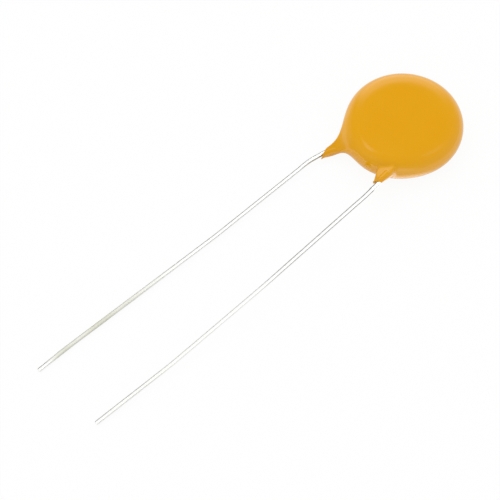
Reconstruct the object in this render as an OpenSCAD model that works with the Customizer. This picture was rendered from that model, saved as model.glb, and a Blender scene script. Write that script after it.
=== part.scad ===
// Dipped disc varistor with two radial wire leads, lying on its back.
// A zinc oxide disc carries a fired silver electrode on each face. A tinned
// lead is soldered to each electrode, and epoxy coats the disc and runs a
// little way down both leads.
//
// Millimetres. The back of the coating lies on z = 0 with the disc's centre
// on the Z axis, and the leads run towards -Y, the left one at -X.

/* [Ceramic element] */
// Diameter of the zinc oxide disc
ceramic_d = 10; // [8:0.5:12]
// Thickness of the zinc oxide disc
ceramic_t = 1.6; // [1.2:0.1:3]
// Bare ceramic around the edge of each electrode
electrode_margin = 0.6; // [0.3:0.05:0.8]
// Thickness of each silver electrode
electrode_t = 0.02; // [0.01:0.01:0.05]

/* [Coating] */
// Epoxy over each face of the ceramic
coat_face = 1; // [0.8:0.05:1.5]
// Epoxy around the edge of the ceramic
coat_edge = 1.25; // [1:0.05:2]
// How far past the rim the epoxy reaches along the left lead
left_drip = 1.95; // [0.5:0.05:3]
// How far past the rim the epoxy reaches along the right lead
right_drip = 1.2; // [0.5:0.05:3]
// How far the epoxy bulges past the rim midway between the leads
web_bulge = 0.45; // [0.1:0.05:0.5]
// How far the round of that bulge stands off the disc's centre, which sets how wide it is
web_offset = 0.8; // [0.6:0.05:1.2]
// Epoxy around the wire at the end of a drip
drip_skin = 0.07; // [0.04:0.01:0.15]
// Radius of the left drip where it passes the rim
left_neck_r = 0.78; // [0.5:0.02:1]
// Radius of the right drip where it passes the rim
right_neck_r = 0.52; // [0.5:0.02:1]
// Where the drips grow out of the disc, measured from its centre
drip_root = 3.6; // [3:0.1:3.8]
// How far the drips have moved off their leads towards each other at that place
drip_lean = 0.35; // [0:0.05:0.5]
// Epoxy left between the root of a drip and the faces of the disc
drip_cover = 0.2; // [0.2:0.05:0.6]

/* [Leads] */
// Diameter of the tinned copper wire
wire_d = 0.5; // [0.4:0.05:0.6]
// Distance between the nominal lines of the two leads
lead_pitch = 7.5; // [6:0.5:10]
// From the disc's centre to the cut end of the left lead
left_reach = 46.5; // [34:0.25:60]
// From the disc's centre to the cut end of the right lead
right_reach = 45.85; // [38:0.05:60]
// Stretches of the left lead: coating to first bend, first to second bend, third bend to cut end
left_runs = [2.6, 12.6, 3.5]; // [2:0.05:16]
// Stretches of the right lead, in the same order
right_runs = [3.05, 13.5, 9.35]; // [2:0.05:16]
// Where the left lead's bends and cut end stand, outwards from its nominal line
left_stray = [0.09, -0.09, 0.25, 0.17]; // [-0.5:0.01:1]
// Where the right lead's bends and cut end stand, outwards from its nominal line
right_stray = [0.33, 0.73, 0.83, 0.51]; // [-0.5:0.01:1]
// Radius of every bend, along the middle of the wire
bend_r = 6; // [4:0.5:8]
// How much thinner the wire is drawn in a bend
bend_draw = 0.004; // [0.002:0.002:0.02]
// How far out of the coating a lead starts down to the table
dip_run = 0.9; // [0.6:0.1:1]

/* [Solder joints] */
// From the disc's centre line sideways to the inner end of the left lead
left_joint_x = 2; // [1.5:0.1:2.6]
// From the disc's centre line sideways to the inner end of the right lead
right_joint_x = 2.95; // [1.5:0.1:3]
// How far a lead reaches past the middle of its electrode
lead_overlap = 0.5; // [0:0.1:1.5]
// Solder between a lead and its electrode
solder_film = 0.03; // [0.01:0.01:0.06]
// Solder over the top of the wire
solder_cover = 0.09; // [0.05:0.01:0.15]
// Length of a solder joint between the middles of its round ends
solder_l = 2.2; // [1:0.1:2.4]
// Bare wire between its inner end and the first round end of the solder
solder_inset = 0.3; // [0.1:0.1:0.6]

/* [Hidden] */
$fn = 96;
left = -1;
right = 1;
table_gap = 0.02;                       // under the cut end of each lead
coat_t = ceramic_t + 2 * coat_face;
coat_r = ceramic_d / 2 + coat_edge;
mid_z = coat_t / 2;
electrode_z = ceramic_t / 2 + electrode_t;      // outer face of an electrode, from mid_z
wire_off = electrode_z + solder_film + wire_d / 2;   // middle of a wire, from mid_z
solder_r = solder_film + wire_d + solder_cover;
drip_root_r = coat_t / 2 - drip_cover;
drip_end_r = wire_d / 2 + drip_skin;

// The left lead lies on the back electrode, the right lead on the front one
function wire_z(side) = mid_z + side * wire_off;
function drip_end(side) = coat_r + (side == left ? left_drip : right_drip);
function runs(side) = side == left ? left_runs : right_runs;
function reach(side) = side == left ? left_reach : right_reach;
function joint_x(side) = side * (side == left ? left_joint_x : right_joint_x);

// Bends and cut end of a lead, each as [x, distance from the disc's centre along -Y]
function stray(side, i) =
    side * (lead_pitch / 2 + (side == left ? left_stray : right_stray)[i]);
function corners(side) = let (r = runs(side), first = drip_end(side) + r[0]) [
    [stray(side, 0), first],
    [stray(side, 1), first + r[1]],
    [stray(side, 2), reach(side) - r[2]],
    [stray(side, 3), reach(side)]
];

// Direction and length of the straight line from a to b, seen from above
function heading(a, b) = atan2(b[0] - a[0], b[1] - a[1]);
function span(a, b) = norm(b - a);
function trim(turn) = bend_r * tan(abs(turn) / 2);   // what a bend takes off each stretch
function slant(side) = heading([joint_x(side), -lead_overlap], corners(side)[0]);

// A lead as steps of [straight length, angle of the bend after it, direction of that bend]
function steps(side) =
    let (
        c = corners(side),
        out = slant(side),
        h = [for (i = [0:2]) heading(c[i], c[i + 1])],
        turn = [h[0] - out, h[1] - h[0], h[2] - h[1]],
        dip_y = drip_end(side) + dip_run,
        dip = atan((wire_z(side) - wire_d / 2 - table_gap) / (reach(side) - dip_y)),
        way = [for (t = turn) t > 0 ? 0 : 180],
        inside = (dip_y + lead_overlap) / cos(out) - trim(dip),
        bent = (c[0][1] - dip_y) / cos(out) / cos(dip) - trim(dip) - trim(turn[0]),
        after = [for (i = [0:2]) span(c[i], c[i + 1]) / cos(dip) - trim(turn[i])
                 - (i < 2 ? trim(turn[i + 1]) : 0)]
    ) [
        [inside, dip, -90],
        [bent, abs(turn[0]), way[0]],
        [after[0], abs(turn[1]), way[1]],
        [after[1], abs(turn[2]), way[2]],
        [after[2], 0, 0]
    ];

// Places children at the inner end of a lead, with +Z along the wire and +Y upwards
module along_lead(side) {
    translate([joint_x(side), lead_overlap, wire_z(side)])
        rotate([0, 0, slant(side)]) rotate([90, 0, 0]) children();
}

// A round bend that leaves the origin along +Z and turns towards +X: a piece of
// a ring, cut square by the planes on which the wire enters and leaves it
module bend(angle) {
    spare = 5;
    side = 4 * wire_d;
    intersection() {
        translate([bend_r, 0, 0]) rotate([90, 0, 0])
            rotate_extrude(angle = angle + 2 * spare, start = 180 - angle - spare)
                translate([bend_r, 0]) circle(d = wire_d - bend_draw);
        translate([-side / 2, -side / 2, 0]) cube([side, side, bend_r]);
        translate([bend_r, 0, 0]) rotate([0, angle, 0])
            translate([-bend_r - side / 2, -side / 2, -bend_r]) cube([side, side, bend_r]);
    }
}

// Straight stretches joined by bends, each stretch starting where the last bend ends
module wire(steps, i = 0) {
    length = steps[i][0];
    angle = steps[i][1];
    way = steps[i][2];
    cylinder(d = wire_d, h = length);
    if (i < len(steps) - 1)
        translate([0, 0, length]) rotate([0, 0, way]) {
            bend(angle);
            translate([bend_r, 0, 0]) rotate([0, angle, 0]) translate([-bend_r, 0, 0])
                rotate([0, 0, -way]) wire(steps, i + 1);
        }
}

module lead(side) {
    along_lead(side) wire(steps(side));
}

// A bead of solder with round ends, flat on its electrode, around the wire
module solder(side) {
    floor_y = -side * (solder_film + wire_d / 2);
    difference() {
        intersection() {
            along_lead(side) translate([0, floor_y, solder_inset + solder_r]) {
                cylinder(r = solder_r, h = solder_l);
                for (z = [0, solder_l]) translate([0, 0, z]) sphere(r = solder_r);
            }
            translate([-ceramic_d, -ceramic_d, side == left ? 0 : mid_z + electrode_z])
                cube([2 * ceramic_d, 2 * ceramic_d, mid_z - electrode_z]);
        }
        lead(side);
    }
}

module electrode(side) {
    translate([0, 0, mid_z + side * (ceramic_t + electrode_t) / 2])
        cylinder(d = ceramic_d - 2 * electrode_margin, h = electrode_t, center = true);
}

module ceramic() {
    translate([0, 0, mid_z]) cylinder(d = ceramic_d, h = ceramic_t, center = true);
}

// A round plate as thick as the coating, with a fully rounded rim
module plate(r) {
    rotate_extrude() {
        square([r - coat_t / 2, coat_t]);
        intersection() {
            translate([r - coat_t / 2, coat_t / 2]) circle(d = coat_t);
            square([r, coat_t]);
        }
    }
}

// Epoxy drawn down a lead: its root lies midway between the faces, its end on the wire
module drip(side) {
    end_s = (drip_end(side) + lead_overlap) / cos(slant(side));
    flat_l = (drip_end(side) - drip_root) / cos(slant(side));
    tilt = -atan(side * wire_off / flat_l);
    lean = side * atan(drip_lean / flat_l);
    root_s = flat_l / cos(tilt) / cos(lean);
    neck_s = root_s * (drip_end(side) - coat_r) / (drip_end(side) - drip_root);
    neck_r = side == left ? left_neck_r : right_neck_r;
    flank = [[drip_end_r, 0], [neck_r, neck_s], [drip_root_r, root_s]];
    along_lead(side) translate([0, 0, end_s]) rotate([0, lean, 0]) rotate([180 + tilt, 0, 0])
        rotate_extrude() polygon(concat([[0, 0]], flank, [[0, root_s]]));
}

module coating() {
    color([0.89, 0.64, 0.1])
    difference() {
        union() {
            plate(coat_r);
            translate([0, -web_offset, 0]) plate(coat_r + web_bulge - web_offset);
            drip(left);
            drip(right);
        }
        ceramic();
        for (side = [left, right]) {
            electrode(side);
            solder(side);
            lead(side);
        }
    }
}

module ceramic_disc() {
    color([0.25, 0.26, 0.27]) ceramic();
}

module front_electrode() {
    color([0.82, 0.81, 0.78]) electrode(right);
}

module back_electrode() {
    color([0.82, 0.81, 0.78]) electrode(left);
}

module left_lead() {
    color([0.85, 0.85, 0.83]) lead(left);
}

module right_lead() {
    color([0.85, 0.85, 0.83]) lead(right);
}

module left_solder() {
    color([0.7, 0.71, 0.72]) solder(left);
}

module right_solder() {
    color([0.7, 0.71, 0.72]) solder(right);
}

coating();
ceramic_disc();
front_electrode();
back_electrode();
left_lead();
right_lead();
left_solder();
right_solder();
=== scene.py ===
import math

import bpy
import numpy as np
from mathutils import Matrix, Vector


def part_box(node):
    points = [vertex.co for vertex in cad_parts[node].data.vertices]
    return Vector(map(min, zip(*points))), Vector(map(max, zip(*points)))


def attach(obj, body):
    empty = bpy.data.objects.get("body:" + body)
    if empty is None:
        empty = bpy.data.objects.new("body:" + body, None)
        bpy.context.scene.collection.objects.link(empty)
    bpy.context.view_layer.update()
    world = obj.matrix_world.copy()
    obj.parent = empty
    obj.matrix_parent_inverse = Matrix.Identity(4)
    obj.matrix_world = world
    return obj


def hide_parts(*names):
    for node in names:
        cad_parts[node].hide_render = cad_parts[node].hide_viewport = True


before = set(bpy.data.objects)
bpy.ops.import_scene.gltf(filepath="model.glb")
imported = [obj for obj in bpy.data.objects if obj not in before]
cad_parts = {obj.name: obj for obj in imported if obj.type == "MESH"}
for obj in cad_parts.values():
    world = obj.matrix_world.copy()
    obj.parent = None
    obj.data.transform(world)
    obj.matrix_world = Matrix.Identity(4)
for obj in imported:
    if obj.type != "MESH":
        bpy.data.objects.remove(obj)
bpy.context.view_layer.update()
scene = bpy.context.scene
scene.view_settings.view_transform = "Standard"
mm = 0.001
print("frame loaded, nodes:", ", ".join(sorted(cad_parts)))


# node helpers
class Num:
    # one output of a node: + - * / and ** on it add Math nodes
    def __init__(self, board, socket):
        self.board, self.socket = board, socket

    def calc(self, operation, *others):
        return self.board.calc(operation, self, *others)

    def __add__(self, other):
        return self.calc("ADD", other)

    def __sub__(self, other):
        return self.calc("SUBTRACT", other)

    def __rsub__(self, other):
        return self.board.calc("SUBTRACT", other, self)

    def __mul__(self, other):
        return self.calc("MULTIPLY", other)

    def __truediv__(self, other):
        return self.calc("DIVIDE", other)

    def __pow__(self, other):
        return self.calc("POWER", other)

    def __neg__(self):
        return self.calc("MULTIPLY", -1.0)

    __radd__ = __add__
    __rmul__ = __mul__


class Board:
    # a node tree that is filled from Python
    def __init__(self, tree):
        self.tree, self.ends = tree, {}

    def add(self, kind, settings=None, inputs=None, out=0):
        node = self.tree.nodes.new(kind)
        for name, value in (settings or {}).items():
            setattr(node, name, value)
        for key, value in (inputs or {}).items():
            if isinstance(value, Num):
                self.tree.links.new(value.socket, node.inputs[key])
            else:
                node.inputs[key].default_value = value
        return Num(self, node.outputs[out]) if len(node.outputs) else node

    def calc(self, operation, *values):
        return self.add("ShaderNodeMath", {"operation": operation}, dict(enumerate(values)))

    def vector(self, operation, *values, out=0):
        return self.add("ShaderNodeVectorMath", {"operation": operation}, dict(enumerate(values)), out)

    def dot(self, a, b):
        return self.vector("DOT_PRODUCT", a, b, out="Value")

    def scaled(self, vector, factor):
        return self.add("ShaderNodeVectorMath", {"operation": "SCALE"}, {0: vector, "Scale": factor})

    def split(self, vector):
        first = self.add("ShaderNodeSeparateXYZ", None, {0: vector})
        return [Num(self, socket) for socket in first.socket.node.outputs]

    def join(self, x, y, z):
        return self.add("ShaderNodeCombineXYZ", None, {0: x, 1: y, 2: z})

    def step(self, value, low, high):
        # 0 below low, 1 above high, smooth between them
        return self.add("ShaderNodeMapRange", {"interpolation_type": "SMOOTHSTEP"},
                        {"Value": value, "From Min": low, "From Max": high})

    def blend(self, factor, a, b):
        # colour a where the factor is 0, colour b where it is 1
        return self.add("ShaderNodeMix", {"data_type": "RGBA", "clamp_factor": True},
                        {0: factor, 6: a, 7: b}, out=2)

    def noise(self, place, scale, detail=2.0, rough=0.5):
        return self.add("ShaderNodeTexNoise", None,
                        {"Vector": place, "Scale": scale, "Detail": detail, "Roughness": rough})

    def bump(self, look, height):
        return self.add("ShaderNodeBump", None, {
            "Strength": look["bump"], "Distance": look["bumpDepth"] * mm, "Height": height})

    def glow(self, strength):
        return self.add("ShaderNodeEmission", None, {"Color": (1, 1, 1, 1), "Strength": strength})

    def input(self, name, kind="NodeSocketFloat", value=None):
        socket = self.tree.interface.new_socket(name=name, in_out="INPUT", socket_type=kind)
        if value is not None:
            socket.default_value = value
        if "in" not in self.ends:
            self.ends["in"] = self.tree.nodes.new("NodeGroupInput")
        return Num(self, self.ends["in"].outputs[name])

    def output(self, name, value, kind="NodeSocketFloat"):
        self.tree.interface.new_socket(name=name, in_out="OUTPUT", socket_type=kind)
        if "out" not in self.ends:
            self.ends["out"] = self.tree.nodes.new("NodeGroupOutput")
        self.tree.links.new(value.socket, self.ends["out"].inputs[name])

    def group(self, tree, inputs):
        return self.add("GeometryNodeGroup", {"node_tree": tree}, inputs)


def newTree(name):
    return Board(bpy.data.node_groups.new(name, "GeometryNodeTree"))


def endTree(board, skin, material):
    # the last nodes of every piece's tree
    skin = board.add("GeometryNodeSetShadeSmooth", None, {"Geometry": skin})
    skin = board.add("GeometryNodeRealizeInstances", None, {"Geometry": skin})
    skin = board.add("GeometryNodeSetMaterial", None, {"Geometry": skin, "Material": material})
    board.output("Geometry", skin, "NodeSocketGeometry")
    return board.tree


def finishPiece(obj, tree, values):
    # runs a geometry tree on the object and keeps the result as its plain mesh
    modifier = obj.modifiers.new("shape", "NODES")
    modifier.node_group = tree
    for item in tree.interface.items_tree:
        if item.item_type == "SOCKET" and item.in_out == "INPUT" and item.name in values:
            modifier[item.identifier] = values[item.name]
    graph = bpy.context.evaluated_depsgraph_get()
    mesh = bpy.data.meshes.new_from_object(obj.evaluated_get(graph), preserve_all_data_layers=True,
                                           depsgraph=graph)
    obj.modifiers.clear()
    obj.data = mesh
    mesh.name = obj.name


def newObject(name, mesh):
    obj = bpy.data.objects.new(name, mesh)
    scene.collection.objects.link(obj)
    return obj


def emptyMaterial(name):
    material = bpy.data.materials.new(name)
    material.use_nodes = True
    material.node_tree.nodes.clear()
    return material, Board(material.node_tree)


def newMaterial(name):
    # a material with its own Principled shader: the board, the shader node and the Object coordinates in mm
    material, board = emptyMaterial(name)
    shader = board.add("ShaderNodeBsdfPrincipled").socket.node
    board.add("ShaderNodeOutputMaterial", None, {"Surface": Num(board, shader.outputs[0])})
    place = board.vector("MULTIPLY", board.add("ShaderNodeTexCoord", None, None, "Object"), (1 / mm,) * 3)
    return material, board, shader, place


def setShader(board, shader, values):
    for name, value in values.items():
        if isinstance(value, Num):
            board.tree.links.new(value.socket, shader.inputs[name])
        else:
            shader.inputs[name].default_value = value


# camera, floor and light
cameraPlace = {"azimuth": 48.2, "elevation": 60.72, "distance": 175.45 * mm, "lens": 122.54,
               "aim": (-0.298 * mm, -21.669 * mm, 0.0)}

turn, rise = math.radians(cameraPlace["azimuth"]), math.radians(cameraPlace["elevation"])
backward = (math.cos(rise) * math.sin(turn), -math.cos(rise) * math.cos(turn), math.sin(rise))
cameraData = bpy.data.cameras.new("camera")
cameraData.sensor_width = 36.0
cameraData.lens = cameraPlace["lens"]
cameraData.clip_start, cameraData.clip_end = 0.005, 20.0
camera = newObject("camera", cameraData)
camera.location = [a + b * cameraPlace["distance"] for a, b in zip(cameraPlace["aim"], backward)]
camera.rotation_euler = (math.pi / 2 - rise, 0.0, turn)
scene.camera = camera

studio = {
    "floorColour": (0.9, 0.9, 0.9, 1), "floorHalf": 3.0,
    "floorWhite": 0.93,          # share of plain white in the floor that is seen, the rest takes the shadows
    "ambient": (0.74, 0.315),    # light on dull surfaces from the horizon, and how much more from overhead
    "keyPower": 0.7, "keySize": (0.5, 0.5), "keyPlace": (-0.35, 0.05, 0.62), "keyAim": (0.0, -0.01, 0.0),
    # a wide sheet straight above the floor, for the wires alone
    "wirePower": 13.2, "wireSize": (2.0, 2.0), "wirePlace": (0.45, 0.4, 0.42), "wireAim": (0.45, 0.4, 0.0),
}


def makeFloor():
    half = studio["floorHalf"]
    mesh = bpy.data.meshes.new("floor")
    mesh.from_pydata([(-half, -half, 0), (half, -half, 0), (half, half, 0), (-half, half, 0)], [],
                     [(0, 1, 2, 3)])
    floor = newObject("floor", mesh)
    material, board = emptyMaterial("floor")
    rays = board.add("ShaderNodeLightPath", None, None, "Is Camera Ray")
    outs = rays.socket.node.outputs
    seen = rays.calc("MAXIMUM", Num(board, outs["Is Glossy Ray"]))
    seen = seen.calc("MAXIMUM", Num(board, outs["Is Transmission Ray"]))
    dull = board.add("ShaderNodeBsdfDiffuse", None, {"Color": studio["floorColour"]})
    mixed = board.add("ShaderNodeMixShader", None,
                      {0: seen * studio["floorWhite"], 1: dull, 2: board.glow(1.0)})
    board.add("ShaderNodeOutputMaterial", None, {"Surface": mixed})
    mesh.materials.append(material)


tent = {                         # what gloss sees all round: levels, and places in degrees
    # an edge goes from where it begins to where it is complete, as the sine of the height if it lies level,
    # and otherwise as the cosine of the angle to its place
    "ceiling": 0.04, "ceilingRim": 0.12, "ceilingEdge": (0.6, 0.9),
    "shade": 0.7, "shadeAzimuth": -95, "shadeEdge": (0.26, 0.71),        # one side of the ceiling is dimmer
    "horizon": 0.12, "horizonEdge": (0.0, 0.7),
    "nearGlow": 0.25, "nearAzimuth": 110, "nearEdge": (-0.4, 0.6),       # one side of the horizon is brighter
    "wall": 1.25, "wallPlace": (-133, 22), "wallEdge": (0.83, 0.99), "wallTop": (0.69, 0.79),
    "foot": 0.55, "footAzimuth": -135, "footEdge": (0.5, 0.906), "footTop": (0.0, 0.6),
}
softPanels = [                   # degrees: place, half width without and with the soft edge, and level
    # "tall" is for a panel that is less high than wide: half its height without and with the soft edge
    {"azimuth": -80, "height": 69.5, "inner": 7.5, "outer": 11.5, "level": 0.85, "tall": (3, 7.5)},
    {"azimuth": 146, "height": 64.5, "inner": 6, "outer": 12, "level": 0.33},
    {"azimuth": 135, "height": 46, "inner": 10, "outer": 42, "level": 0.11},
    {"azimuth": -30, "height": 46, "inner": 10, "outer": 34, "level": 0.14},
    {"azimuth": -72, "height": 2, "inner": 10, "outer": 30, "level": 0.25},
    {"azimuth": 48, "height": 0, "inner": 12, "outer": 30, "level": 0.75},
]


def toward(azimuth, height):
    a, h = math.radians(azimuth), math.radians(height)
    return (math.cos(h) * math.sin(a), -math.cos(h) * math.cos(a), math.sin(h))


def makeWorld():
    # white to the camera, an even tent to dull surfaces, and in gloss a bright far wall under a dim ceiling
    world = bpy.data.worlds.new("studio")
    scene.world = world
    world.use_nodes = True
    world.cycles.sampling_method = "NONE"        # so that gloss only sees what is drawn for it
    world.node_tree.nodes.clear()
    board = Board(world.node_tree)
    direction = board.vector("NORMALIZE", board.add("ShaderNodeTexCoord", None, None, "Generated"))
    height = board.split(direction)[2]
    flat = (1.0001 - height * height) ** 0.5     # how much of the direction lies level, never quite 0

    def levelDot(azimuth):
        return board.dot(direction, toward(azimuth, 0)) / flat

    shade = board.step(levelDot(tent["shadeAzimuth"]), *tent["shadeEdge"])
    ceiling = tent["ceiling"] + tent["ceilingRim"] * (1 - board.step(height, *tent["ceilingEdge"]))
    ceiling = ceiling * (1 - tent["shade"] * shade)
    nearSide = board.step(levelDot(tent["nearAzimuth"]), *tent["nearEdge"])
    horizon = tent["horizon"] + tent["nearGlow"] * nearSide
    horizon = horizon * (1 - board.step(height, *tent["horizonEdge"]))
    wall = board.step(board.dot(direction, toward(*tent["wallPlace"])), *tent["wallEdge"]) * tent["wall"]
    wall = wall * (1 - board.step(height, *tent["wallTop"]))
    foot = board.step(levelDot(tent["footAzimuth"]), *tent["footEdge"]) * tent["foot"]
    foot = foot * (1 - board.step(height, *tent["footTop"]))
    gloss = ceiling + horizon + wall + foot
    for panel in softPanels:
        near = board.dot(direction, toward(panel["azimuth"], panel["height"]))
        edges = [math.cos(math.radians(panel[edge])) for edge in ("outer", "inner")]
        light = board.step(near, *edges) * panel["level"]
        if "tall" in panel:
            over = board.dot(direction, toward(panel["azimuth"], panel["height"] + 90)).calc("ABSOLUTE")
            edges = [math.sin(math.radians(edge)) for edge in panel["tall"]]
            light = light * (1 - board.step(over, *edges))
        gloss = gloss + light
    rays = board.add("ShaderNodeLightPath", None, None, "Is Camera Ray")
    isGlossy = Num(board, rays.socket.node.outputs["Is Glossy Ray"])
    dull = studio["ambient"][0] + studio["ambient"][1] * height.calc("MAXIMUM", 0.0)
    level = dull + isGlossy * (gloss - dull)
    level = level + rays * (1 - level)
    back = board.add("ShaderNodeBackground", None, {"Color": (1, 1, 1, 1), "Strength": level})
    board.add("ShaderNodeOutputWorld", None, {"Surface": back})


def makeLamp(name):
    data = bpy.data.lights.new(name + "Lamp", "AREA")
    data.shape = "RECTANGLE"
    data.energy = studio[name + "Power"]
    data.size, data.size_y = studio[name + "Size"]
    lamp = newObject(name + "Lamp", data)
    lamp.location = studio[name + "Place"]
    line = Vector(studio[name + "Aim"]) - lamp.location
    lamp.rotation_euler = line.to_track_quat("-Z", "Y").to_euler()
    lamp.visible_camera = False
    return lamp


slatRows = {                     # mm: dim slats beside the wires, which only gloss sees
    "rows": [                    # place along x, the way they face, tops at the cut ends and at the coat
        {"x": -6.8, "faces": 1, "tipTop": 2.4, "coatTop": 2.7, "level": 0.15, "midway": 0.0},
        {"x": 1.2, "faces": 1, "tipTop": 2.4, "coatTop": 4.9, "level": 0.3, "midway": 0.4},
        {"x": 1.1, "faces": -1, "tipTop": 1.6, "coatTop": 1.9, "level": 0.15, "midway": 0.0},
        {"x": 8.0, "faces": -1, "tipTop": 1.3, "coatTop": 3.9, "level": 0.35, "midway": 0.5},
    ],
    "first": -47.0, "last": -6.6, "gap": 0.8, "width": 1.3,
    "lean": 15.0,                # degrees: turned so that the coat only meets their backs, which are clear
    "sight": 7.5,                # from farther off than this they are clear too
    # where along y a row is brighter by its midway value
    "midwayFrom": (-40.0, -35.0), "midwayTo": (-25.0, -20.0),
}


def slatMesh(name, row):
    first, last, lean = slatRows["first"], slatRows["last"], math.radians(slatRows["lean"])
    half = slatRows["width"] / 2
    reach = (math.cos(lean) * half, row["faces"] * math.sin(lean) * half)
    corners, faces = [], []
    for i in range(int((last - first) / slatRows["gap"]) + 1):
        y = last - i * slatRows["gap"]
        top = row["tipTop"] + (row["coatTop"] - row["tipTop"]) * (y - first) / (last - first)
        for side, z in ((-1, 0.0), (1, 0.0), (1, top), (-1, top)):
            corners.append(((row["x"] + side * reach[0]) * mm, (y + side * reach[1]) * mm, z * mm))
        faces.append(tuple(range(4 * i, 4 * i + 4)))
    mesh = bpy.data.meshes.new(name)
    mesh.from_pydata(corners, [], faces)
    return mesh


def showInGlossOnly(obj):
    obj.visible_camera = obj.visible_diffuse = obj.visible_transmission = obj.visible_shadow = False


def makeSlats(name, row):
    card = newObject(name, slatMesh(name, row))
    material, board = emptyMaterial(name)
    behind = board.add("ShaderNodeNewGeometry", None, None, "Backfacing")
    length = board.add("ShaderNodeLightPath", None, None, "Ray Length")
    unseen = behind.calc("MAXIMUM", length.calc("GREATER_THAN", slatRows["sight"] * mm))
    y = board.split(board.add("ShaderNodeTexCoord", None, None, "Object"))[1] / mm
    midway = board.step(y, *slatRows["midwayFrom"]) * (1 - board.step(y, *slatRows["midwayTo"]))
    mixed = board.add("ShaderNodeMixShader", None, {
        0: unseen, 1: board.glow(row["level"] + row["midway"] * midway),
        2: board.add("ShaderNodeBsdfTransparent")})
    board.add("ShaderNodeOutputMaterial", None, {"Surface": mixed})
    card.data.materials.append(material)
    showInGlossOnly(card)


bounce = {                       # mm and degrees: a white part of a ring on the floor round the coat
    "inner": 6.4, "outer": 8.4, "height": 0.01, "from": 36, "to": 92, "parts": 20,
    "level": 2.2, "fadeFrom": 56, "end": 0.98,   # from there on it fades to the level of the floor at its end
}


def makeBounce():
    # only gloss sees it
    corners = []
    for i in range(bounce["parts"] + 1):
        azimuth = bounce["from"] + (bounce["to"] - bounce["from"]) * i / bounce["parts"]
        x, y, _ = toward(azimuth, 0)
        corners += [(x * bounce[edge] * mm, y * bounce[edge] * mm, bounce["height"] * mm)
                    for edge in ("inner", "outer")]
    mesh = bpy.data.meshes.new("bounce")
    mesh.from_pydata(corners, [], [(2 * i, 2 * i + 1, 2 * i + 3, 2 * i + 2) for i in range(bounce["parts"])])
    sheet = newObject("bounce", mesh)
    material, board = emptyMaterial("bounce")
    place = board.vector("NORMALIZE", board.add("ShaderNodeTexCoord", None, None, "Object"))
    turned = board.dot(place, toward(bounce["from"] + 90, 0))
    edges = [math.sin(math.radians(bounce[name] - bounce["from"])) for name in ("fadeFrom", "to")]
    level = bounce["level"] + (bounce["end"] - bounce["level"]) * board.step(turned, *edges)
    board.add("ShaderNodeOutputMaterial", None, {"Surface": board.glow(level)})
    mesh.materials.append(material)
    showInGlossOnly(sheet)


makeFloor()
makeBounce()
makeWorld()
for number, row in enumerate(slatRows["rows"]):
    makeSlats("flag%d" % number, row)
keyLamp, wireLamp = makeLamp("key"), makeLamp("wire")
keyLamp.visible_glossy = False
print("camera, floor, world and lamps made")


# paths of the two leads
endLeft, endAdded = 0.3, 0.28    # mm: how far before each end the cuts stop, and how much is put back there


def leadPath(node, count=64):
    # centre of the wire at even steps along y, from cuts through the CAD lead
    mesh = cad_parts[node].data
    corners = np.array([v.co for v in mesh.vertices]) / mm
    pairs = np.array([e.vertices[:] for e in mesh.edges])
    a, b = corners[pairs[:, 0]], corners[pairs[:, 1]]
    lowEnd, highEnd = corners[:, 1].min(), corners[:, 1].max()
    points = []
    for y in np.linspace(lowEnd + endLeft, highEnd - endLeft, count):
        cut = (a[:, 1] - y) * (b[:, 1] - y) < 0
        share = (y - a[cut, 1]) / (b[cut, 1] - a[cut, 1])
        on = a[cut] + share[:, None] * (b[cut] - a[cut])
        middle = (on.min(0) + on.max(0)) / 2
        points.append([middle[0], y, middle[2]])
    path = np.array(points)
    for _ in range(2):           # rounds the bends
        path[1:-1] = 0.25 * path[:-2] + 0.5 * path[1:-1] + 0.25 * path[2:]
    firstStep, lastStep = path[0] - path[1], path[-1] - path[-2]
    tip = path[0] + firstStep * (endAdded / abs(firstStep[1]))
    root = path[-1] + lastStep * (endAdded / abs(lastStep[1]))
    return np.vstack([tip, path, root])      # from the cut end to the inner end, in mm


leads = {side: leadPath(side + "_lead") for side in ("left", "right")}
insideFrom = -6.0                # mm along y: beyond it a lead runs straight, inside the coat


def innerRun(side):
    # the inner end of the lead, and the direction from there towards the cut end
    path = leads[side]
    inside = path[path[:, 1] > insideFrom]
    along = inside[0] - inside[-1]
    return tuple(inside[-1]), tuple(along / np.linalg.norm(along))


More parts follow.
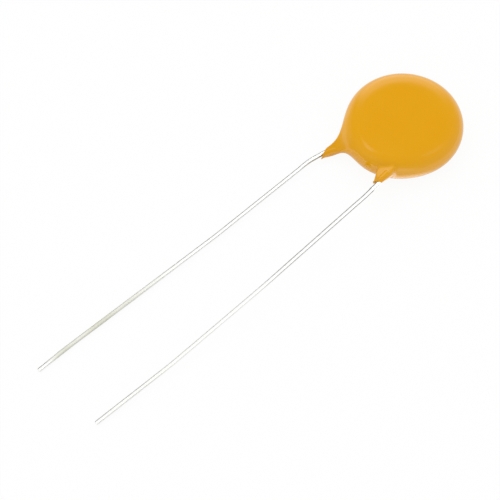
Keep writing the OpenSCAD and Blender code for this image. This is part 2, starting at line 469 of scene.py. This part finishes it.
# epoxy coat
coatShape = {                    # mm, and slopes
    "voxel": 0.1,
    "radiusExtra": 0.07,         # how much larger in radius than the CAD coating
    "rimSoftness": 1.4,          # how gradually the flat face turns into the rim
    "faceDome": 0.08, "domeReach": 0.3,      # how much the face stands up, and how far beyond its flat
    "webShiftX": 0.065, "webShiftY": 1.46, "webRadius": 5.305, "webHalf": 1.65, "webBlend": 0.892,
    "ripple": 0.006, "rippleScale": 0.35,
    # from here on the drips, measured from the line of their lead, with pairs for the left and the right one
    "end": (8.42, 7.6),          # from the centre of the disc to the tip
    "tip": (0.325, 0.26),        # radius at the tip, and how it grows behind the tip up to the cap
    "flare": (0.249, 0.426), "power": (0.6, 0.835), "cap": (1.45, 0.95), "capRounding": 0.6,
    "coneShare": 0.93,           # what is left of a distance across a drip because it widens
    "shift": (-0.058, -0.222),   # sideways at the tip, turning into rootShift until mid behind it
    "rootShift": (0.44, -0.536), "mid": (2.58, 3.195),
    # the flat on top: height over the lead at the tip, slopes back and sideways, extra slope behind backStart
    "rise": (0.58, 0.16), "climb": (0.06, -0.04), "tilt": (-0.04, 0.12), "flatRounding": 0.3,
    "back": (0.0, 0.25), "backStart": 1.5,
    # a second flat beside it, far above the left drip, which has none
    "facet": (9.0, 0.2), "facetClimb": (0.0, -0.02), "facetTilt": (0.0, 0.3), "facetRounding": 0.12,
    "sleeve": 0.3, "sleeveLong": 1.65,       # epoxy close round the lead, and how far behind the tip
    "sleeveEndRounding": 0.12, "sleeveRounding": 0.3,
    "dripLong": 4.5, "backRounding": 0.5,
    "slant": (-1.6, 0.7), "slantRounding": 0.08,     # slope of the cut end
    "endRagged": 0.2, "raggedScale": 2.3,
    "blend": (2.645, 0.337),     # rounding between drip and coat
}
coatSizes = {}                   # the same by the names of the trees' inputs
for name, value in coatShape.items():
    if isinstance(value, tuple):
        for side, size in zip(("left", "right"), value):
            coatSizes[side + name[0].upper() + name[1:]] = size
    elif name != "radiusExtra":  # makeCoat adds that to the radius
        coatSizes[name] = value


def coatInputs(board):
    sizes = {name: board.input(name, "NodeSocketFloat", value) for name, value in coatSizes.items()}
    for name in ("radius", "half"):
        sizes[name] = board.input(name, "NodeSocketFloat", 1.0)
    for name in ("leftRoot", "leftAlong", "rightRoot", "rightAlong"):
        sizes[name] = board.input(name, "NodeSocketVector")
    return sizes


def coatDistanceTree():
    # signed distance in mm from a place to the skin of the coat, less than 0 inside
    board = newTree("coatDistance")
    place = board.input("place", "NodeSocketVector")
    s = coatInputs(board)
    x, y, z = board.split(place)
    height = z - s["half"]
    fade = (1 - (height / s["half"]) ** 2).calc("MAXIMUM", 0.0)      # no blend at the face and the back

    def plate(across, along, radius, half):
        # a round plate with a soft rim: distance from its axis, and from its skin
        reach = (across * across + along * along) ** 0.5
        over = (reach - (radius - half)).calc("SMOOTH_MAX", 0.0, s["rimSoftness"])
        return reach, (over * over + height * height) ** 0.5 - half

    reach, body = plate(x, y, s["radius"], s["half"])
    flat = s["radius"] - s["half"]
    dome = (reach.calc("MINIMUM", flat + s["domeReach"]) / flat) ** 4 * (height / s["half"]) ** 2
    body = body + s["faceDome"] * dome
    web = plate(x - s["webShiftX"], y + s["webShiftY"], s["webRadius"], s["webHalf"])[1]
    coat = body.calc("SMOOTH_MIN", web, s["webBlend"] * fade)
    ragged = (board.noise(place, s["raggedScale"], 1.0) - 0.5) * s["endRagged"]
    for side in ("right", "left"):
        root, along = s[side + "Root"], s[side + "Along"]
        alongX, alongY, _ = board.split(along)
        _, rootY, rootZ = board.split(root)
        away = board.vector("SUBTRACT", place, root)
        sideways = board.dot(away, board.join(-alongY, alongX, 0.0))
        before = (rootY + s[side + "End"]) / -alongY - board.dot(away, along)    # how far behind the tip
        behind = before.calc("MAXIMUM", 0.0)
        share = (behind / s[side + "Mid"]).calc("MINIMUM", 1.0)
        level = z - rootZ
        across = sideways - (s[side + "Shift"] + (s[side + "RootShift"] - s[side + "Shift"]) * share)
        above = level - (s["half"] - rootZ) * share * share
        girth = s[side + "Tip"] + s[side + "Flare"] * behind ** s[side + "Power"]
        girth = girth.calc("SMOOTH_MIN", s[side + "Cap"], s["capRounding"])
        drip = ((across * across + above * above) ** 0.5 - girth) * s["coneShare"]
        ridge = level - s[side + "Rise"] - s[side + "Climb"] * before - s[side + "Tilt"] * sideways
        ridge = ridge - s[side + "Back"] * (before - s["backStart"]).calc("MAXIMUM", 0.0)
        drip = drip.calc("SMOOTH_MAX", ridge, s["flatRounding"])
        facet = level - s[side + "Facet"] - s[side + "FacetClimb"] * before
        drip = drip.calc("SMOOTH_MAX", facet - s[side + "FacetTilt"] * sideways, s["facetRounding"])
        sleeve = (sideways * sideways + level * level) ** 0.5 - s["sleeve"]
        sleeve = sleeve.calc("SMOOTH_MAX", before - s["sleeveLong"], s["sleeveEndRounding"])
        drip = drip.calc("SMOOTH_MIN", sleeve, s["sleeveRounding"])
        drip = drip.calc("SMOOTH_MAX", before - s["dripLong"], s["backRounding"])
        end = s[side + "Slant"] * sideways - before + ragged
        drip = drip.calc("SMOOTH_MAX", end, s["slantRounding"])
        coat = coat.calc("SMOOTH_MIN", drip, s[side + "Blend"] * fade)
    board.output("distance", coat)
    return board.tree


def coatTree():
    distanceTree = coatDistanceTree()
    board = newTree("epoxyCoat")
    s = coatInputs(board)
    material = board.input("material", "NodeSocketMaterial")
    position = board.add("GeometryNodeInputPosition")

    def distance(place):
        return board.group(distanceTree, {**s, "place": place})

    margin, dripRoom = 0.35, 2.7             # mm of room round the coat, and past its near rim
    low = board.join(-(s["radius"] + margin), -(s["radius"] + dripRoom), -margin)
    high = board.join(s["radius"] + margin, s["radius"] + margin, s["half"] * 2 + margin)
    sizes = board.split(board.vector("SUBTRACT", high, low))
    counts = [(size / s["voxel"]).calc("ROUND") for size in sizes]
    volume = board.add("GeometryNodeVolumeCube", None, {
        "Density": -distance(position), "Background": -1.0, "Min": low, "Max": high,
        "Resolution X": counts[0], "Resolution Y": counts[1], "Resolution Z": counts[2]})
    skin = board.add("GeometryNodeVolumeToMesh", {"resolution_mode": "GRID"},
                     {"Volume": volume, "Threshold": 0.0})
    probe, leastSteep, longestPull = 0.01, 0.2, 0.05
    for _ in range(3):           # pulls every corner of the skin onto the exact surface
        here = distance(position)
        slope = [(distance(board.vector("ADD", position, step)) - here) / probe
                 for step in ((probe, 0, 0), (0, probe, 0), (0, 0, probe))]
        steep = slope[0] * slope[0] + slope[1] * slope[1] + slope[2] * slope[2]
        pull = -here / steep.calc("MAXIMUM", leastSteep)
        pull = pull.calc("MAXIMUM", -longestPull).calc("MINIMUM", longestPull)
        move = board.scaled(board.join(*slope), pull)
        skin = board.add("GeometryNodeSetPosition", None, {"Geometry": skin, "Offset": move})
    wave = (board.noise(position, s["rippleScale"], 2.0) - 0.5) * s["ripple"] * 2
    swell = board.scaled(board.add("GeometryNodeInputNormal"), wave)
    skin = board.add("GeometryNodeSetPosition", None, {"Geometry": skin, "Offset": swell})
    skin = board.add("GeometryNodeTransform", None, {"Geometry": skin, "Scale": (mm, mm, mm)})
    return endTree(board, skin, material)


coatLook = {
    "colour": (0.783, 0.366, 0.0045, 1), "ior": 1.58,
    "pale": (0.8, 0.388, 0.0045, 1), "paleShare": 0.35, "paleCloud": (0.28, 0.35, 0.7),  # clouds: scale, edge
    "deep": (0.60, 0.235, 0.006, 1), "deepShare": 0.2, "deepFrom": 5.9, "deepFull": 7.6,  # mm: on the drips
    "roughness": 0.13, "roughnessSpread": 0.08,
    "bump": 0.12, "bumpDepth": 0.05, "waves": 0.5, "grain": 6.0, "grainShare": 0.02,
}


def epoxyMaterial():
    look = coatLook
    material, board, shader, place = newMaterial("orangeEpoxy")
    cloudScale, *cloudEdge = look["paleCloud"]
    cloud = board.noise(place, cloudScale, 3.0)
    colour = board.blend(board.step(cloud, *cloudEdge) * look["paleShare"], look["colour"], look["pale"])
    dripped = board.step(-board.split(place)[1], look["deepFrom"], look["deepFull"])
    colour = board.blend(dripped * look["deepShare"], colour, look["deep"])
    waves = board.noise(place, look["waves"]) + board.noise(place, look["grain"]) * look["grainShare"]
    setShader(board, shader, {
        "Base Color": colour, "Roughness": look["roughness"] + (cloud - 0.5) * look["roughnessSpread"],
        "IOR": look["ior"], "Normal": board.bump(look, waves)})
    return material


def makeCoat():
    low, high = (np.array(corner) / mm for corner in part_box("coating"))
    values = dict(coatSizes, material=epoxyMaterial(), half=float(high[2] - low[2]) / 2,
                  radius=float(high[0]) + coatShape["radiusExtra"])
    for side in ("left", "right"):
        values[side + "Root"], values[side + "Along"] = innerRun(side)
    coat = newObject("epoxyCoat", bpy.data.meshes.new("epoxyCoat"))
    finishPiece(coat, coatTree(), values)
    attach(coat, "root")
    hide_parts("coating")
    print("epoxy coat:", len(coat.data.polygons), "faces")


makeCoat()


# tinned wire leads
wireShape = {                    # mm
    "wireRadius": 0.235, "step": 0.12, "around": 28, "endRound": 0.03,
    "unevenness": 0.006, "unevenScale": 1.1,
    "knotPlace": -8.6, "knotLength": 0.35,   # where along y a wire is thicker
}
wireInside = {                   # mm along y
    "swerveEnd": -5.0, "swerveFade": 3.0,    # where a wire that swerved is back in line, after how long a way
    "sinkStart": -7.3, "sinkFade": 1.2,      # where a wire starts to sink, and how long it takes
}
wireSides = {
    # mm: swerve sideways beside the coat, from begin to full along y, sinking inside it, height of the knot
    # strengths of the film and of the painted shade and reflection of the coat, the side of the wire that
    # this painted shade is on, and its edge there
    "left": {
        "swerve": -0.17, "begin": -12.0, "full": -9.6, "sink": 0.0, "knot": 0.0, "seed": 7.0,
        "film": 0.8, "coatShadeAndReflection": 0.85, "side": 1, "edge": (0.78, 0.9),
    },
    "right": {
        "swerve": 0.09, "begin": -11.5, "full": -9.0, "sink": 0.3, "knot": 0.03, "seed": 31.0,
        "film": 0.12, "coatShadeAndReflection": 0.4, "side": -1, "edge": (0.42, 0.6),
    },
}


def wireTree():
    board = newTree("tinnedWire")
    path = board.input("Geometry", "NodeSocketGeometry")
    s = {name: board.input(name, "NodeSocketInt" if name == "around" else "NodeSocketFloat", value)
         for name, value in wireShape.items()}
    thicker = board.input("knot", "NodeSocketFloat", 0.0)
    seed = board.input("seed", "NodeSocketFloat", 0.0)
    material = board.input("material", "NodeSocketMaterial")
    curve = board.add("GeometryNodeMeshToCurve", None, {"Mesh": path})
    curve = board.add("GeometryNodeCurveSplineType", {"spline_type": "CATMULL_ROM"}, {"Curve": curve})
    curve = board.add("GeometryNodeResampleCurve", {"mode": "LENGTH"},
                      {"Curve": curve, "Length": s["step"]})
    along = board.add("GeometryNodeSplineParameter", None, None, "Length")
    total = board.add("GeometryNodeSplineLength", None, None, "Length")
    # a little thinner at its two ends, which softens their edges
    nearEnd = along.calc("MINIMUM", total - along)
    squeeze = 1 - (1 - board.step(nearEnd, 0.0, s["endRound"] * 3)) * (s["endRound"] / s["wireRadius"])
    place = board.add("GeometryNodeInputPosition")
    y = board.split(place)[1]
    knot = 1 - board.step((y - s["knotPlace"]).calc("ABSOLUTE"), 0.0, s["knotLength"])
    girth = squeeze + knot * thicker / s["wireRadius"]
    captured = board.add("GeometryNodeCaptureAttribute", None, {"Geometry": curve})
    capture = captured.socket.node
    capture.capture_items.new("FLOAT", "run")
    board.tree.links.new(along.socket, capture.inputs["run"])
    run = Num(board, capture.outputs["run"])
    curve = Num(board, capture.outputs["Geometry"])
    ring = board.add("GeometryNodeCurvePrimitiveCircle", None,
                     {"Resolution": s["around"], "Radius": s["wireRadius"]})
    skin = board.add("GeometryNodeCurveToMesh", None,
                     {"Curve": curve, "Profile Curve": ring, "Scale": girth, "Fill Caps": True})
    shifted = board.vector("ADD", place, board.join(seed, 0.0, 0.0))
    stretched = board.vector("MULTIPLY", shifted, (1, 0.35, 1))              # longer along the wire
    rough = board.noise(stretched, s["unevenScale"], 3.0) - 0.5
    swell = board.scaled(board.add("GeometryNodeInputNormal"), rough * s["unevenness"] * 2)
    skin = board.add("GeometryNodeSetPosition", None, {"Geometry": skin, "Offset": swell})
    skin = board.add("GeometryNodeTransform", None, {"Geometry": skin, "Scale": (mm, mm, mm)})
    skin = board.add("GeometryNodeStoreNamedAttribute", {"data_type": "FLOAT", "domain": "POINT"},
                     {"Geometry": skin, "Name": "run", "Value": run})
    return endTree(board, skin, material)


wireLook = {
    "tin": (0.9, 0.9, 0.885, 1), "roughness": 0.24, "roughnessSpread": 0.12, "bump": 0.15, "bumpDepth": 0.01,
    "aged": (0.375, 0.375, 0.3, 1),                      # the film
    "streaks": 0.12, "streakStretch": (6.0, 0.5, 6.0),   # marks left by drawing the wire
    "filmFrom": (0.5, 2.8), "filmTo": (7.0, 21.0),       # mm from the cut end: where it starts and fades
    "filmCloud": 0.25, "cloudStretch": (1.0, 0.3, 1.0), "cloudScale": 0.8, "cloudEdge": (0.3, 0.6),
    "filmDull": 0.75, "filmRough": 0.25,                 # how much less like metal and how much rougher it is
    "coatShadeAndReflection": (0.3, 0.26, 0.14, 1),                     # painted shade and painted reflection of the orange coat, dark olive, on one side of the wire beside the coat
    "coatShadeAndReflectionFrom": -12.0, "coatShadeAndReflectionFull": -9.3,           # mm along y
}


def tinMaterial(name, side):
    look = wireLook
    material, board, shader, place = newMaterial(name)
    run = board.add("ShaderNodeAttribute", {"attribute_name": "run"}, None, "Fac")    # mm from the cut end
    drawn = board.noise(board.vector("MULTIPLY", place, look["streakStretch"]), 1.0, 3.0)
    cloud = board.noise(board.vector("MULTIPLY", place, look["cloudStretch"]), look["cloudScale"], 3.0)
    film = 1 - look["filmCloud"] * (1 - board.step(cloud, *look["cloudEdge"]))
    film = film * board.step(run, *look["filmFrom"]) * (1 - board.step(run, *look["filmTo"])) * side["film"]
    colour = board.blend(film + look["streaks"] * drawn, look["tin"], look["aged"])
    # painted shade and reflection of the coat: one side of the wire near the coat, chosen by the normal,
    # turns dark olive
    across = board.split(board.add("ShaderNodeTexCoord", None, None, "Normal"))[0] * side["side"]
    nearCoat = board.step(board.split(place)[1], look["coatShadeAndReflectionFrom"], look["coatShadeAndReflectionFull"])
    coatShadeAndReflection = board.step(across, *side["edge"]) * nearCoat * side["coatShadeAndReflection"]
    colour = board.blend(coatShadeAndReflection, colour, look["coatShadeAndReflection"])
    roughness = look["roughness"] + (drawn - 0.5) * look["roughnessSpread"] + film * look["filmRough"]
    setShader(board, shader, {
        "Base Color": colour, "Metallic": 1 - film * look["filmDull"], "Roughness": roughness,
        "Normal": board.bump(look, drawn)})
    return material


def makeWire(side):
    points, look = leads[side].copy(), wireSides[side]
    ramp = np.clip((points[:, 1] - look["begin"]) / (look["full"] - look["begin"]), 0, 1)
    back = np.clip((wireInside["swerveEnd"] - points[:, 1]) / wireInside["swerveFade"], 0, 1)
    sunk = np.clip((points[:, 1] - wireInside["sinkStart"]) / wireInside["sinkFade"], 0, 1)
    points[:, 0] += look["swerve"] * ramp * ramp * (3 - 2 * ramp) * back
    points[:, 2] -= look["sink"] * sunk
    mesh = bpy.data.meshes.new(side + "Wire")
    mesh.from_pydata([tuple(p) for p in points], [(i, i + 1) for i in range(len(points) - 1)], [])
    wire = newObject(side + "Wire", mesh)
    values = dict(wireShape, seed=look["seed"], knot=look["knot"], material=tinMaterial(side + "Tin", look))
    finishPiece(wire, wireTree(), values)
    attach(wire, "root")
    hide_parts(side + "_lead")
    print(side, "wire:", len(wire.data.polygons), "faces")
    return wire


wires = [makeWire(side) for side in ("left", "right")]

wireOnly = bpy.data.collections.new("wireOnly")
for wire in wires:
    wireOnly.objects.link(wire)
wireLamp.light_linking.receiver_collection = wireOnly


# sealed-in pieces
sealedLooks = {
    # grain: scale, detail, roughness and edge between dark and light; stain: colour, scale, edge and share
    "zincOxideCeramic": {
        "grain": (9.0, 4.0, 0.7), "grainEdge": (0.4, 0.65),
        "dark": (0.035, 0.038, 0.04, 1), "light": (0.075, 0.078, 0.08, 1),
        "stain": (0.06, 0.058, 0.05, 1), "stainScale": 0.6, "stainEdge": (0.4, 0.7), "stainShare": 0.3,
        "metallic": 0.0, "roughness": 0.72, "roughnessSpread": 0.2, "bump": 0.4, "bumpDepth": 0.02,
    },
    "firedSilver": {
        "grain": (14.0, 3.0, 0.6), "grainEdge": (0.4, 0.65),
        "dark": (0.74, 0.72, 0.68, 1), "light": (0.74, 0.72, 0.68, 1),
        "stain": (0.6, 0.54, 0.43, 1), "stainScale": 0.9, "stainEdge": (0.35, 0.75), "stainShare": 0.5,
        "metallic": 1.0, "roughness": 0.45, "roughnessSpread": 0.25, "bump": 0.3, "bumpDepth": 0.01,
    },
    "dullSolder": {
        "grain": (5.0, 4.0, 0.6), "grainEdge": (0.35, 0.65),
        "dark": (0.5, 0.51, 0.53, 1), "light": (0.62, 0.63, 0.64, 1),
        "stain": (0.5, 0.51, 0.53, 1), "stainScale": 0.9, "stainEdge": (0.35, 0.75), "stainShare": 0.0,
        "metallic": 1.0, "roughness": 0.38, "roughnessSpread": 0.3, "bump": 0.3, "bumpDepth": 0.02,
    },
}


def sealedMaterial(name):
    look = sealedLooks[name]
    material, board, shader, place = newMaterial(name)
    grain = board.noise(place, *look["grain"])
    colour = board.blend(board.step(grain, *look["grainEdge"]), look["dark"], look["light"])
    stained = board.step(board.noise(place, look["stainScale"]), *look["stainEdge"]) * look["stainShare"]
    colour = board.blend(stained, colour, look["stain"])
    setShader(board, shader, {
        "Base Color": colour, "Metallic": look["metallic"],
        "Roughness": look["roughness"] + (grain - 0.5) * look["roughnessSpread"],
        "Normal": board.bump(look, grain)})
    return material


def dress(nodes, material):
    for node in nodes:
        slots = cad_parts[node].data.materials
        if len(slots) == 0:
            slots.append(material)
        for i in range(len(slots)):
            slots[i] = material


dress(["ceramic_disc"], sealedMaterial("zincOxideCeramic"))
dress(["front_electrode", "back_electrode"], sealedMaterial("firedSilver"))
dress(["left_solder", "right_solder"], sealedMaterial("dullSolder"))
print("sealed-in pieces dressed")
